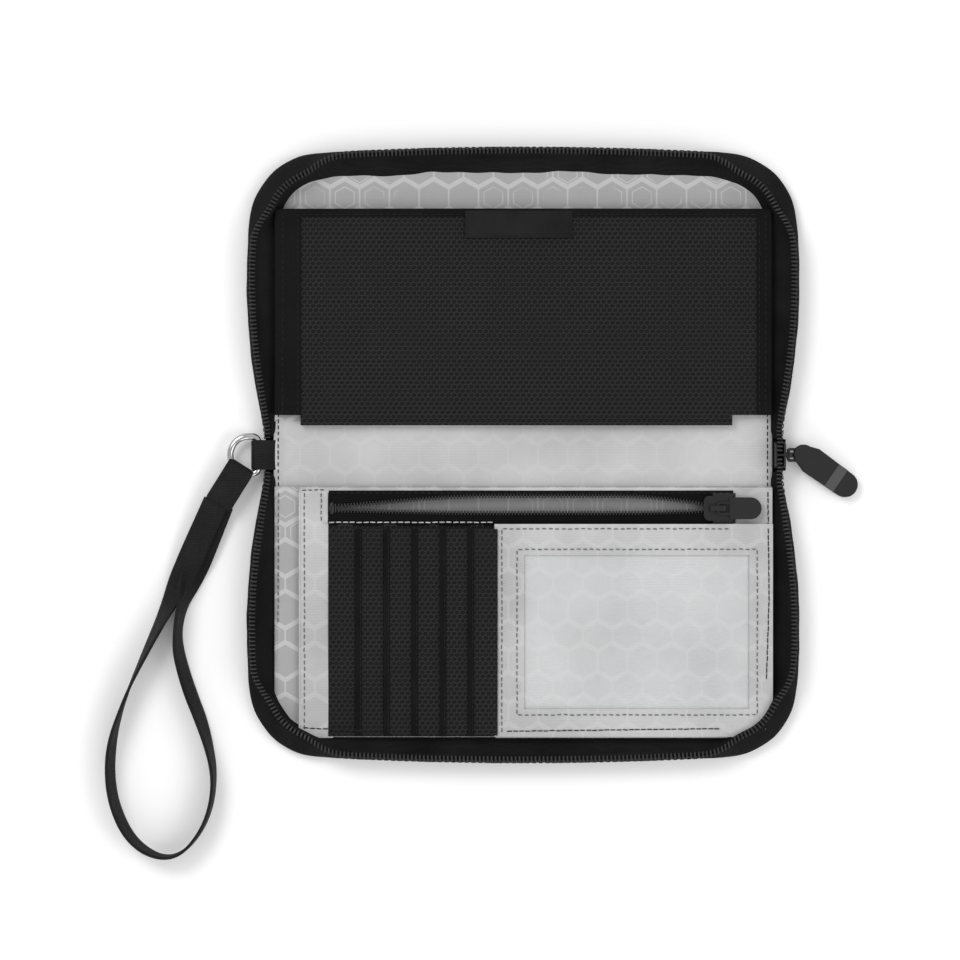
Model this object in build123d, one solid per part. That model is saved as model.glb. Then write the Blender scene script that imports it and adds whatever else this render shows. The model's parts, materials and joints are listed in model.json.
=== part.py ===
from build123d import *
import math
import os

# Zip-around travel document organizer, lying open on its outer covers.
# Millimetres. Origin: middle of the spine's underside. +X runs along the spine towards the zip pull,
# +Y towards the front cover, +Z up. Each cover folds up 90 degrees at its own edge of the spine.

# ---- driving dimensions -------------------------------------------------------------------------
HINGE_Y = 9.0            # half the spine's width, where each cover creases
HINGE_Z = 1.0            # height of the crease, the top of the outer fabric
SPINE_GAP = 0.3          # play between a cover's edge and the crease
HALF_WIDTH = 92.0        # half the cover's width at the spine
BOW_X, BOW_Y = 98.0, 52.0    # widest point of the bowed side
CORNER_X, CORNER_Y = 94.0, 106.0
CORNER_R = 26.0
FAR_Y = 109.5            # far edge of a cover from the spine's middle
RIM_Z = 9.85             # top of the zip teeth: two rims just meet at twice this, less the crease play

COVER_T = 1.0            # outer fabric
BOARD_T = 1.0            # stiffener board
LINING_T = 0.4
LINING_Z = COVER_T + BOARD_T
LINING_TOP = LINING_Z + LINING_T
INNER_Y = 10.8           # inner layers stop here, so that they clear the spine when folded
PANEL_X = 88.0           # half-width of the inner pocket panels
PANEL_FAR_Y = 101.0      # far edge of the inner pocket panels

WALL_T = 1.0             # gusset
TAPE_T = 0.6
GUSSET_TOP = 4.6
TAPE_TOP = 8.4
TEETH_W = 1.8

# document pocket on the front half
POCKET_Z = 7.0
POCKET_T = 0.6
POCKET_NEAR_Y, POCKET_FAR_Y = 10.8, 87.5
POCKET_HEM_W = 9.0
POCKET_NOTCH = 3.5

# organizer on the back half
SLIP_Z, SLIP_T = 3.6, 0.4
ORGANIZER_Z, ORGANIZER_T = 5.2, 0.4
ORGANIZER_TOP = ORGANIZER_Z + ORGANIZER_T
ORGANIZER_LEFT, ORGANIZER_NEAR_Y = -79.6, -12.0
ZIP_Y = -19.0            # centre line of the inner pocket's zip
ZIP_LEFT, ZIP_RIGHT = -69.6, 75.7
ZIP_HALF_GAP = 2.7       # the inner zip lies open by twice this
ZIP_TEETH_W = 0.8
CARD_NEAR_Y = -25.4
CARD_LEFT, CARD_PITCH, CARD_SLOTS = -59.5, 10.0, 5
CARD_T, CARD_STEP = 0.3, 0.4
CARD_REACH = 88.0        # length of a card slot
ID_LEFT, ID_RIGHT = -10.0, 84.6
WINDOW_LEFT, WINDOW_RIGHT = 0.4, 80.4
WINDOW_NEAR_Y, WINDOW_FAR_Y = -35.7, -90.4

# zip sliders
INNER_SLIDER_X = 69.3
INNER_PIN_Z = 8.3
MAIN_PIN_X, MAIN_PIN_Z = 94.4, 5.9
PULL_DROOP = 9.0         # degrees, so that the main pull's tip rests on the table
PULL_SKEW = -35.0        # degrees, how the main pull lies
MAIN_LINK = 7.0          # from the pin to the link's far bar
MAIN_POST_X = 5.6        # from the pin to the post inside the pull's fork

# ring and wrist strap
RING_BAR_X, RING_Z, RING_WIRE_R = -94.5, 4.0, 1.2
RING_R, RING_ARC_X = 6.6, -97.8
KEEPER_ANGLE = 238.0     # degrees, the way the strap leaves the ring
KEEPER_W, KEEPER_START, KEEPER_END = 9.2, 4.3, 20.0
STRAP_W, STRAP_T = 9.6, 1.2
# The strap's route from the keeper, round its loop and back to the keeper, on the table.
STRAP_ROUTE = [
    (-109.4, -16.7), (-117.0, -33.5), (-125.6, -52.0), (-134.2, -69.5), (-142.3, -87.0),
    (-147.6, -105.5), (-146.6, -124.0), (-138.6, -139.6), (-124.4, -145.2), (-113.2, -133.0),
    (-109.4, -116.0), (-113.2, -98.5), (-120.0, -81.5), (-124.0, -65.5), (-120.6, -49.5),
    (-113.9, -33.4), (-107.8, -17.7),
]


# ---- helpers ------------------------------------------------------------------------------------
def block(x0, x1, y0, y1, z0, z1):
    """A box from its low and high corners."""
    size = (abs(x1 - x0), abs(y1 - y0), abs(z1 - z0))
    return Pos((x0 + x1) / 2, (y0 + y1) / 2, (z0 + z1) / 2) * Box(*size)


def slab(face, z0, z1):
    """A flat face raised to a plate from z0 to z1."""
    return extrude(Pos(0, 0, z0) * face, z1 - z0)


def rounded(x0, x1, y0, y1, radius):
    """A rounded rectangle from its edges."""
    return Pos((x0 + x1) / 2, (y0 + y1) / 2) * RectangleRounded(abs(x1 - x0), abs(y1 - y0), radius)


def mirrored(part):
    """The same piece on the front half."""
    return mirror(part, about=Plane.XZ)


def cover_outline(inset=0.0):
    """The back cover's plan: bowed sides and far edge, two round corners, straight along the spine."""
    near, far = -HINGE_Y - SPINE_GAP, -FAR_Y + inset
    end_x, bow_x = HALF_WIDTH - inset, BOW_X - inset
    corner_x, corner_y = CORNER_X - inset, -CORNER_Y + inset
    sides = [
        ThreePointArc((-end_x, near), (-bow_x, -BOW_Y), (-corner_x, corner_y)),
        ThreePointArc((-corner_x, corner_y), (0, far), (corner_x, corner_y)),
        ThreePointArc((corner_x, corner_y), (bow_x, -BOW_Y), (end_x, near)),
        Line((end_x, near), (-end_x, near)),
    ]
    face = make_face(sides)
    return fillet(face.vertices().sort_by(Axis.Y)[:2], CORNER_R - inset)


def inner_layer(inset, z0, z1):
    """A flat inner layer of the back half, cut back from the crease."""
    layer = slab(cover_outline(inset), z0, z1)
    return layer - block(-110, 110, -INNER_Y, 0, z0 - 1, z1 + 1)


def rim(inset, thickness, z0, z1):
    """A strip standing round the back half's three open sides, its ends sloping down to the spine."""
    strip = slab(cover_outline(inset), z0, z1) - slab(cover_outline(inset + thickness), z0 - 1, z1 + 1)
    slope = make_face(Polyline((-12, 1.4), (-27, 10.1), (0, 10.1), (0, 1.4), close=True))
    above_slope = extrude(Plane.YZ * slope, 110, both=True)
    return strip - above_slope - block(-110, 110, -12, 0, 0, 12)


# ---- spine --------------------------------------------------------------------------------------
def make_spine():
    half = HINGE_Y - SPINE_GAP
    tab_ring = Pos(RING_BAR_X, 0, RING_Z) * Rot(90, 0, 0) * Cylinder(2.55, 10.0)
    tab_flat = block(RING_BAR_X, -88.6, -5.0, 5.0, LINING_TOP, LINING_TOP + 2.0)
    tab_flat += block(-91.8, -88.6, -5.0, 5.0, COVER_T, LINING_TOP)
    tab_hole = Pos(RING_BAR_X, 0, RING_Z) * Rot(90, 0, 0) * Cylinder(RING_WIRE_R + 0.35, 12)
    end_tab = fillet(block(86.0, 93.6, -5.6, 5.6, COVER_T, 1.6).edges().filter_by(Axis.Z), 1.2)
    return {
        "spine_cover": slab(rounded(-HALF_WIDTH, HALF_WIDTH, -half, half, 1.0), 0, COVER_T),
        "spine_board": slab(rounded(-85.5, 85.5, -7.5, 7.5, 1.0), COVER_T, LINING_Z),
        "spine_lining": slab(rounded(-88.4, 85.5, -half, half, 0.5), LINING_Z, LINING_TOP),
        "strap_tab": (tab_ring + tab_flat) - tab_hole,
        "spine_end_tab": end_tab,
    }


# ---- covers -------------------------------------------------------------------------------------
def make_back_shell():
    return {
        "back_cover": slab(cover_outline(), 0, COVER_T),
        "back_board": inner_layer(4.0, COVER_T, LINING_Z),
        "back_lining": inner_layer(2.6, LINING_Z, LINING_TOP),
        "back_gusset": rim(0.2, WALL_T, COVER_T, GUSSET_TOP),
        "back_zip_tape": rim(0.4, TAPE_T, GUSSET_TOP, TAPE_TOP),
        "back_zip_teeth": rim(0.1, TEETH_W, TAPE_TOP, RIM_Z),
    }


# ---- document pocket on the front half ----------------------------------------------------------
def make_document_pocket():
    """Built on the front half: a front panel on two side walls and a closed bottom, open at the far edge."""
    outer = block(-PANEL_X, PANEL_X, POCKET_NEAR_Y, POCKET_FAR_Y, LINING_TOP, POCKET_Z + POCKET_T)
    hollow = block(-PANEL_X + 0.8, PANEL_X - 0.8, POCKET_NEAR_Y + 0.8, POCKET_FAR_Y + 1,
                   LINING_TOP - 1, POCKET_Z)
    pocket = outer - hollow
    hem_z = POCKET_Z + POCKET_T
    for side in (-1, 1):
        x0, x1 = side * PANEL_X, side * (PANEL_X - POCKET_HEM_W)
        pocket -= block(x0 + side, x1, POCKET_NEAR_Y - 1, POCKET_NEAR_Y + POCKET_NOTCH, POCKET_Z - 0.01, 12)
    hems = {}
    for side, name in ((-1, "pocket_hem_left"), (1, "pocket_hem_right")):
        width = POCKET_HEM_W if side < 0 else 5.0
        hems[name] = slab(
            rounded(side * PANEL_X, side * (PANEL_X - width), POCKET_NEAR_Y + POCKET_NOTCH,
                    POCKET_FAR_Y, 0.8),
            hem_z, hem_z + 0.4)
    label = slab(rounded(-20.7, 17.5, 76.8, 86.8, 0.6), hem_z, hem_z + 0.4)
    return {"document_pocket": pocket, **hems, "label_patch": label}


# ---- organizer on the back half -----------------------------------------------------------------
def pocket_panel(left, near_y, spacer_z, panel_z, thickness, open_near):
    """A flat pocket front on spacer seams down its sides and along its far edge."""
    seam = 1.0
    outer = block(left, PANEL_X, -PANEL_FAR_Y, near_y, spacer_z, panel_z + thickness)
    near_limit = near_y + 1 if open_near else near_y - seam
    return outer - block(left + seam, PANEL_X - seam, -PANEL_FAR_Y + seam, near_limit, spacer_z - 1, panel_z)


def make_organizer():
    slip = pocket_panel(-PANEL_X, -13.6, LINING_TOP, SLIP_Z, SLIP_T, True)
    organizer = pocket_panel(ORGANIZER_LEFT, ORGANIZER_NEAR_Y, SLIP_Z + SLIP_T, ORGANIZER_Z,
                             ORGANIZER_T, False)
    organizer -= block(ORGANIZER_LEFT - 1, PANEL_X + 1, -13.5, 0, 0, ORGANIZER_Z)
    slot = slab(rounded(ZIP_LEFT + 1.5, ZIP_RIGHT - 0.6, ZIP_Y - 4.9, ZIP_Y + 4.9, 1.5), 0, 12)
    corner = slab(cover_outline(2.6), 0, 12)
    return {"slip_pocket": slip & corner, "organizer_panel": (organizer - slot) & corner}


def make_inner_zip():
    """Two tapes with their teeth, held apart as the zip lies open, and the four end stops."""
    nodes = {}
    for side, name in ((1, "upper"), (-1, "lower")):
        inner = ZIP_Y + side * ZIP_HALF_GAP
        teeth_outer = inner + side * ZIP_TEETH_W
        tape_outer = ZIP_Y + side * 6.2
        nodes[f"inner_zip_tape_{name}"] = block(ZIP_LEFT, ZIP_RIGHT, teeth_outer, tape_outer,
                                                ORGANIZER_TOP, ORGANIZER_TOP + 0.4)
        nodes[f"inner_zip_teeth_{name}"] = block(ZIP_LEFT + 1.6, ZIP_RIGHT - 0.6, inner, teeth_outer,
                                                 ORGANIZER_TOP - 0.1, ORGANIZER_TOP + 0.9)
    return nodes


def make_card_slots():
    """Five mesh slots in steps, each opening to the left and running under the window panel."""
    nodes = {"card_base_panel": slab(rounded(ZIP_LEFT, ID_RIGHT, CARD_NEAR_Y, -100.4, 0.5),
                                     ORGANIZER_TOP, ORGANIZER_TOP + CARD_T)}
    for i in range(CARD_SLOTS):
        left = CARD_LEFT + i * CARD_PITCH
        z0 = ORGANIZER_TOP + (i + 1) * CARD_STEP
        face = rounded(left, min(left + CARD_REACH, ID_RIGHT), CARD_NEAR_Y, -100.4, 0.5)
        nodes[f"card_slot_{i + 1}"] = slab(face, z0, z0 + CARD_T)
    return {name: part & slab(cover_outline(2.6), 0, 12) for name, part in nodes.items()}


def make_id_window():
    z0 = ORGANIZER_TOP + (CARD_SLOTS + 1) * CARD_STEP
    panel = rounded(ID_LEFT, ID_RIGHT, CARD_NEAR_Y, -100.6, 0.6)
    hole = rounded(WINDOW_LEFT, WINDOW_RIGHT, WINDOW_NEAR_Y, WINDOW_FAR_Y, 1.0)
    glazing = rounded(WINDOW_LEFT - 3, WINDOW_RIGHT + 2.6, WINDOW_NEAR_Y + 2.6, WINDOW_FAR_Y - 2.6, 1.5)
    inside = slab(cover_outline(2.6), 0, 12)
    return {
        "id_backing": slab(panel, z0, z0 + 0.25) & inside,
        "id_window": slab(glazing, z0 + 0.3, z0 + 0.5),
        "id_frame": slab(panel - hole, z0 + 0.55, z0 + 0.95) & inside,
    }


# ---- zip sliders and pulls ----------------------------------------------------------------------
def zip_slider(length, width, gap, plate, pin_height, arch_half=3.0):
    """A slider with its mouth at +X, its bridge at +Z and its pull's pin at the origin."""
    top = -pin_height
    plate_face = RectangleRounded(length, width, 2.0)
    upper = slab(plate_face, top - plate, top)
    lower = slab(plate_face, top - 2 * plate - gap, top - plate - gap)
    skirt_face = plate_face - Rectangle(length + 1, width - 1.2) - Rectangle(1.2, width + 1).moved(
        Location((length / 2, 0))) - Rectangle(1.2, width + 1).moved(Location((-length / 2, 0)))
    skirts = slab(skirt_face, top - plate - 0.35 * gap, top - plate)
    skirts += slab(skirt_face, top - plate - gap, top - plate - 0.8 * gap)
    post = slab(Pos(length / 2 - 2.0, 0) * RectangleRounded(3.0, 1.1, 0.5), top - plate - gap, top - plate)
    arch = block(-arch_half, arch_half, -0.95, 0.95, top, pin_height + 0.6)
    arch = fillet(arch.edges().filter_by(Axis.Y).sort_by(Axis.Z)[-2:], 0.9)
    arch -= block(-arch_half + 0.8, arch_half - 0.8, -2, 2, top, pin_height)
    return upper + lower + skirts + post + arch


def pull_link(length, half_width, wire):
    """A wire loop from the pin at the origin to its far bar at +X."""
    outer = Pos(length / 2, 0) * RectangleRounded(length + 2 * wire, 2 * (half_width + wire), 1.2)
    inner = Pos(length / 2, 0) * RectangleRounded(length - 2 * wire, 2 * (half_width - wire), 0.4)
    loop = slab(outer - inner, -wire, wire)
    return chamfer(loop.edges().group_by(Axis.Z)[-1] + loop.edges().group_by(Axis.Z)[0], 0.25 * wire)


def pull_paddle(start, length, width, thickness):
    """A moulded pull with a square root and a round end, its edges softened."""
    body = Pos(start + length / 2, 0) * RectangleRounded(length, width, 1.0)
    tip = Pos(start + length - width / 2, 0) * Circle(width / 2)
    square = Pos(start + length - width / 4, 0) * Rectangle(width / 2, width)
    plan = (body - square) + tip
    solid = slab(plan, -thickness / 2, thickness / 2)
    return fillet(solid.edges().group_by(Axis.Z)[-1] + solid.edges().group_by(Axis.Z)[0], 0.35)


def make_sliders():
    inner_slider = zip_slider(10.0, 8.8, 1.9, 0.6, 0.8)
    inner_place = Pos(INNER_SLIDER_X, ZIP_Y, INNER_PIN_Z)
    link = pull_link(4.6, 1.9, 0.45)
    tab = pull_paddle(4.0, 11.5, 7.8, 1.2) - slab(Pos(2.3, 0) * RectangleRounded(5.6, 4.8, 1.2), -0.45, 0.45)
    main_slider = Pos(MAIN_PIN_X, 0, MAIN_PIN_Z) * Rot(0, 90, 0) * Rot(0, 0, 180) * zip_slider(
        8.4, 9.0, 2.4, 0.7, 1.0, 1.9)
    main_place = Pos(MAIN_PIN_X, 0, MAIN_PIN_Z) * Rot(0, PULL_DROOP, 0)
    main_link = pull_link(MAIN_LINK, 2.0, 0.5)
    paddle_place = main_place * Pos(MAIN_POST_X, 0, 0) * Rot(0, 0, PULL_SKEW)
    sides = Polyline((0, 3.7), (3.4, 4.9), (18.4, 4.5), (18.4, -4.5), (3.4, -4.9), (0, -3.7), close=True)
    shape = Circle(3.7) + make_face(sides) + Pos(18.4, 0) * Circle(4.5)
    paddle = slab(shape, -1.3, 1.3)
    paddle = fillet(paddle.edges().group_by(Axis.Z)[-1] + paddle.edges().group_by(Axis.Z)[0], 0.35)
    band = slab(Pos(14.2, 0) * Rectangle(3.8, 9.2), 1.05, 1.45)
    paddle -= slab(Pos(14.2, 0) * Rectangle(3.8, 10.0), 1.05, 2.0)
    fork = Cylinder(4.1, 1.6) + block(-4, 0, -5, 5, -0.8, 0.8)
    post = Cylinder(0.55, 1.8)
    return {
        "main_slider": main_slider,
        "main_pull_link": main_place * main_link,
        "main_pull_tab": paddle_place * (paddle - fork + post),
        "main_pull_band": paddle_place * band,
        "inner_slider": inner_place * Rot(0, 0, 180) * inner_slider,
        "inner_pull_link": inner_place * link,
        "inner_pull_tab": inner_place * tab,
    }


# ---- ring and wrist strap -----------------------------------------------------------------------
def make_ring():
    bar = FilletPolyline((RING_ARC_X, RING_R), (RING_BAR_X, RING_R), (RING_BAR_X, -RING_R),
                         (RING_ARC_X, -RING_R), radius=2.0)
    arc = ThreePointArc((RING_ARC_X, -RING_R), (RING_ARC_X - RING_R, 0), (RING_ARC_X, RING_R))
    path = Wire(bar.edges() + arc.edges())
    wire = sweep(Plane(origin=(RING_BAR_X, 0, 0), z_dir=(0, 1, 0)) * Circle(RING_WIRE_R), path=path)
    return Pos(0, 0, RING_Z) * wire


def corner_radii(points):
    """For each inner point of a route, the largest tangent arc that its two runs leave room for."""
    radii = []
    for a, b, c in zip(points, points[1:], points[2:]):
        into, out = Vector(b) - Vector(a), Vector(c) - Vector(b)
        half_turn = math.radians(into.get_angle(out)) / 2
        radii.append(0.45 * min(into.length, out.length) / math.tan(half_turn))
    return radii


def make_strap():
    """The loop of webbing standing on its edge, and the flat keeper that holds it on the ring."""
    radii = corner_radii(STRAP_ROUTE)
    path = FilletPolyline(*STRAP_ROUTE, radius=radii)
    section = Plane(origin=path @ 0, x_dir=(0, 0, 1), z_dir=path % 0) * Rectangle(STRAP_W, STRAP_T)
    strap = Pos(0, 0, STRAP_W / 2 + 0.1) * sweep(section, path=Wire(path.edges()))
    print("strap length", round(path.length, 1), "volume share", round(strap.volume / (
        path.length * STRAP_W * STRAP_T), 4), "radii", [round(r, 1) for r in radii])
    body = block(KEEPER_START, KEEPER_END, -KEEPER_W / 2, KEEPER_W / 2, -2.6, 2.6)
    body -= Torus(7.0, 1.9)
    keeper = Pos(RING_ARC_X, 0, RING_Z) * Rot(0, 0, KEEPER_ANGLE) * body
    return {"strap_keeper": keeper, "wrist_strap": strap}


# ---- assembly -----------------------------------------------------------------------------------
def make_all():
    nodes = make_spine()
    back = make_back_shell()
    nodes.update(back)
    nodes.update({name.replace("back_", "front_"): mirrored(part) for name, part in back.items()})
    nodes.update(make_document_pocket())
    nodes.update(make_organizer())
    nodes.update(make_inner_zip())
    nodes.update(make_card_slots())
    nodes.update(make_id_window())
    nodes.update(make_sliders())
    nodes["d_ring"] = make_ring()
    nodes.update(make_strap())
    return nodes


os.makedirs("parts", exist_ok=True)
for node, part in make_all().items():
    export_step(part, f"parts/{node}.step")
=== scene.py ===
import bpy
import json
import math
import numpy as np
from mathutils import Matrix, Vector


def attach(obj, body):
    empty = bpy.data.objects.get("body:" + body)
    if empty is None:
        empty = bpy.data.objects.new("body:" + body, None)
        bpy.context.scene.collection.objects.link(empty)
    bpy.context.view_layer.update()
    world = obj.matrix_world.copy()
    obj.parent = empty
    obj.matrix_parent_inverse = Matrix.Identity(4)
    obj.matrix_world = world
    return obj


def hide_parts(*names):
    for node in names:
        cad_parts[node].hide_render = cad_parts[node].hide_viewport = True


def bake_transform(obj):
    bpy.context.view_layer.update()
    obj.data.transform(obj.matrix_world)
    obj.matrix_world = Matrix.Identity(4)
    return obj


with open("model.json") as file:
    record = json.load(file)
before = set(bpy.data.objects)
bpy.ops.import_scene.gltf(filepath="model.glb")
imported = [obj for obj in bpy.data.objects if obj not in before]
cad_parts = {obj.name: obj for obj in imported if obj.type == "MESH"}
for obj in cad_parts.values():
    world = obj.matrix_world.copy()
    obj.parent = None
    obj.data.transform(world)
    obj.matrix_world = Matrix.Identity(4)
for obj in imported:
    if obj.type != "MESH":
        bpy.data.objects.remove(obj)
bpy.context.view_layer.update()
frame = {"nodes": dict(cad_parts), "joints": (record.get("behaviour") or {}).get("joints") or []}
NODES = frame["nodes"]

# All lengths below are in millimetres; meshes are written in metres. "v" is the distance from the spine's
# middle line, so that both halves share one description: y = v on the front half and -v on the back half.
MM = 0.001
UP, ALONG_X, ALONG_Y = (0, 0, 1.0), (1.0, 0, 0), (0, 1.0, 0)
PRINT_PITCH = 10.6
rng = np.random.default_rng(7)


# ---- materials ----------------------------------------------------------------------------------
class Surface:
    """A principled material with helpers for its pattern nodes, in the row frame's millimetres."""

    def __init__(self, name, rough=0.8, specular=0.2, metallic=0.0, coat=0.0):
        self.m = bpy.data.materials.new(name)
        self.m.use_nodes = True
        self.t = self.m.node_tree
        self.b = self.t.nodes["Principled BSDF"]
        self.b.inputs["Roughness"].default_value = rough
        self.b.inputs["Specular IOR Level"].default_value = specular
        self.b.inputs["Metallic"].default_value = metallic
        self.b.inputs["Coat Weight"].default_value = coat
        self.b.inputs["Coat Roughness"].default_value = 0.25
        coord = self.t.nodes.new("ShaderNodeTexCoord").outputs["Object"]
        self.p = self.vec("MULTIPLY", coord, (1000, 1000, 1000))

    def put(self, node, values):
        for i, value in enumerate(values):
            if value is None:
                continue
            if isinstance(value, bpy.types.NodeSocket):
                self.t.links.new(value, node.inputs[i])
            else:
                node.inputs[i].default_value = value
        return node

    def math(self, op, *values):
        node = self.t.nodes.new("ShaderNodeMath")
        node.operation = op
        return self.put(node, values).outputs[0]

    def vec(self, op, *values):
        node = self.t.nodes.new("ShaderNodeVectorMath")
        node.operation = op
        out = "Value" if op in ("DOT_PRODUCT", "LENGTH") else "Vector"
        return self.put(node, values).outputs[out]

    def noise(self, scale, detail=3.0, stretch=(1, 1, 1)):
        node = self.t.nodes.new("ShaderNodeTexNoise")
        node.inputs["Scale"].default_value = scale
        node.inputs["Detail"].default_value = detail
        self.t.links.new(self.vec("MULTIPLY", self.p, stretch), node.inputs["Vector"])
        return node.outputs["Fac"]

    def ramp(self, value, *stops):
        node = self.t.nodes.new("ShaderNodeValToRGB")
        elements = node.color_ramp.elements
        while len(elements) < len(stops):
            elements.new(0.5)
        for element, (place, color) in zip(elements, stops):
            element.position = place
            element.color = (*color, 1)
        self.t.links.new(value, node.inputs[0])
        return node.outputs[0]

    def mix(self, factor, a, b, blend="MIX"):
        node = self.t.nodes.new("ShaderNodeMix")
        node.data_type = "RGBA"
        node.blend_type = blend
        for socket, value in ((node.inputs[0], factor), (node.inputs[6], a), (node.inputs[7], b)):
            if isinstance(value, bpy.types.NodeSocket):
                self.t.links.new(value, socket)
            else:
                socket.default_value = (*value, 1) if isinstance(value, tuple) else value
        return node.outputs[2]

    def color(self, socket):
        self.t.links.new(socket, self.b.inputs["Base Color"])
        return self

    def roughness(self, value, low, high):
        node = self.t.nodes.new("ShaderNodeMapRange")
        self.put(node, (value, 0.3, 0.7, low, high))
        self.t.links.new(node.outputs[0], self.b.inputs["Roughness"])
        return self

    def bumps(self, *layers):
        """(height, strength, distance in millimetres) layers, coarse to fine."""
        normal = None
        for height, strength, distance in layers:
            node = self.t.nodes.new("ShaderNodeBump")
            node.inputs["Strength"].default_value = strength
            node.inputs["Distance"].default_value = distance * MM
            self.t.links.new(height, node.inputs["Height"])
            if normal:
                self.t.links.new(normal, node.inputs["Normal"])
            normal = node.outputs[0]
        self.t.links.new(normal, self.b.inputs["Normal"])
        return self.m

    def weave(self, pitch):
        """Height of a plain weave: threads over and under, 0 to 1, along all three planes."""
        q = self.vec("SINE", self.vec("SCALE", self.p, None, None, 2 * math.pi / pitch))
        s = self.t.nodes.new("ShaderNodeSeparateXYZ")
        self.t.links.new(q, s.inputs[0])
        xy = self.math("MULTIPLY", s.outputs[0], s.outputs[1])
        yz = self.math("MULTIPLY", s.outputs[1], s.outputs[2])
        return self.math("MULTIPLY_ADD", self.math("ADD", xy, yz), 0.5, 0.5)

    def hexes(self, wide, tall):
        """0 in the middle of each hexagon of a flat grid, 0.5 on its edges."""
        p = self.vec("MULTIPLY", self.p, (1 / wide, 1 / tall, 0))
        half = (0.5, 0.8660254, 0.5)
        low = tuple(-h for h in half)
        a = self.vec("WRAP", p, half, low)
        b = self.vec("WRAP", self.vec("SUBTRACT", p, half), half, low)
        nearer = self.math("LESS_THAN", self.vec("DOT_PRODUCT", a, a), self.vec("DOT_PRODUCT", b, b))
        far = self.vec("ADD", self.vec("SCALE", a, None, None, nearer), self.vec("SCALE", b, None, None,
                self.math("SUBTRACT", 1.0, nearer)))
        q = self.vec("ABSOLUTE", self.vec("MULTIPLY", far, (1, 1, 0)))
        return self.math("MAXIMUM", self.vec("DOT_PRODUCT", q, (0.5, 0.8660254, 0)),
                self.vec("DOT_PRODUCT", q, (1, 0, 0)))


def gray(value):
    return (value, value, value)


def woven(name, dark, light, pitch, cloud=0.03, rough=0.85, specular=0.12, depth=0.08,
        wrinkle=0.0, thread=0.35, printed=0.0):
    """Plain woven cloth: thread by thread shade, cloudy variation and, if asked, soft wrinkles."""
    s = Surface(name, rough, specular)
    dark, light = gray(dark), gray(light)
    threads = s.weave(pitch)
    clouds = s.noise(cloud, 4)
    mixed = s.mix(s.ramp(clouds, (0.36, gray(0.0)), (0.64, gray(1.0))), dark, light)
    if printed:
        outline = s.ramp(s.hexes(PRINT_PITCH, PRINT_PITCH), (0.462, gray(0.0)), (0.474, gray(1.0)))
        mixed = s.mix(s.math("MULTIPLY", outline, printed), mixed, gray(0.75))
    shaded = s.mix(thread, mixed, s.ramp(threads, (0.1, gray(0.25)), (0.9, gray(1.0))), "MULTIPLY")
    s.color(shaded).roughness(s.noise(0.9, 2), rough - 0.07, rough + 0.07)
    layers = [(threads, 0.7, depth), (s.noise(5, 2), 0.25, 0.1)]
    if wrinkle:
        layers.insert(0, (s.noise(0.045, 3, (1, 1.3, 1)), wrinkle, 2.2))
        layers.insert(1, (s.noise(0.16, 2, (1.4, 0.7, 1)), wrinkle * 0.7, 0.8))
    return s.bumps(*layers)


def mesh_cloth(name):
    """Black knitted mesh: raised threads round small six-sided holes."""
    s = Surface(name, 0.6, 0.2)
    cells = s.hexes(2.05, 1.75)
    thread = s.ramp(cells, (0.24, gray(0.0)), (0.38, gray(0.7)), (0.5, gray(1.0)))
    tone = s.mix(s.noise(0.05, 3), gray(0.011), gray(0.020))
    s.color(s.mix(thread, gray(0.0008), tone))
    return s.bumps((s.noise(0.05, 3), 0.4, 1.2), (thread, 1.0, 0.45), (s.noise(6, 2), 0.3, 0.08))


def hex_print(name, base, line, wrinkle):
    """Grey ripstop with a fine printed hexagon outline, partly doubled, and a faint weave."""
    s = Surface(name, 0.6, 0.25)
    ring = s.hexes(PRINT_PITCH, PRINT_PITCH)
    big = s.ramp(ring, (0.468, gray(0.0)), (0.478, gray(1.0)), (0.5, gray(1.0)))
    inner = s.math("MULTIPLY", s.math("GREATER_THAN", ring, 0.30), s.math("LESS_THAN", ring, 0.335))
    patches = s.ramp(s.noise(0.055, 1), (0.50, gray(0.0)), (0.56, gray(1.0)))
    lines = s.math("MAXIMUM", big, s.math("MULTIPLY", inner, patches))
    threads = s.weave(0.5)
    cloth = s.mix(s.noise(0.03, 4), gray(base - 0.03), gray(base + 0.02))
    cloth = s.mix(0.18, cloth, s.ramp(threads, (0.1, gray(0.4)), (0.9, gray(1.0))), "MULTIPLY")
    s.color(s.mix(s.math("MULTIPLY", lines, 0.75), cloth, gray(line)))
    s.roughness(s.noise(0.5, 2), 0.5, 0.68)
    return s.bumps((s.noise(0.05, 3), wrinkle, 2.0), (s.noise(0.15, 2, (1.5, 0.7, 1)), wrinkle, 0.7),
            (threads, 0.5, 0.05))


def ribbed(name, tone, axis, pitch):
    """Zip tape: fine ribs along one axis over a soft weave."""
    s = Surface(name, 0.85, 0.06)
    ribs = s.math("SINE", s.math("MULTIPLY", s.vec("DOT_PRODUCT", s.p, axis), 2 * math.pi / pitch))
    s.color(s.mix(s.math("MULTIPLY_ADD", ribs, 0.5, 0.5), gray(tone * 0.55), gray(tone * 1.25)))
    s.roughness(s.noise(1.2, 2), 0.7, 0.88)
    return s.bumps((ribs, 0.8, 0.12), (s.weave(0.45), 0.5, 0.05))


def moulded(name, tone, rough, specular, grain, coat=0.0):
    """Moulded plastic, rubber or lacquer: near even colour, fine grain, a little scuffing."""
    s = Surface(name, rough, specular, coat=coat)
    scuffs = s.noise(0.8, 4)
    s.color(s.mix(scuffs, gray(tone * 0.9), gray(tone * 1.1)))
    s.roughness(scuffs, rough - 0.06, rough + 0.08)
    return s.bumps((s.noise(grain, 3), 0.35, 0.06), (scuffs, 0.15, 0.1))


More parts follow.
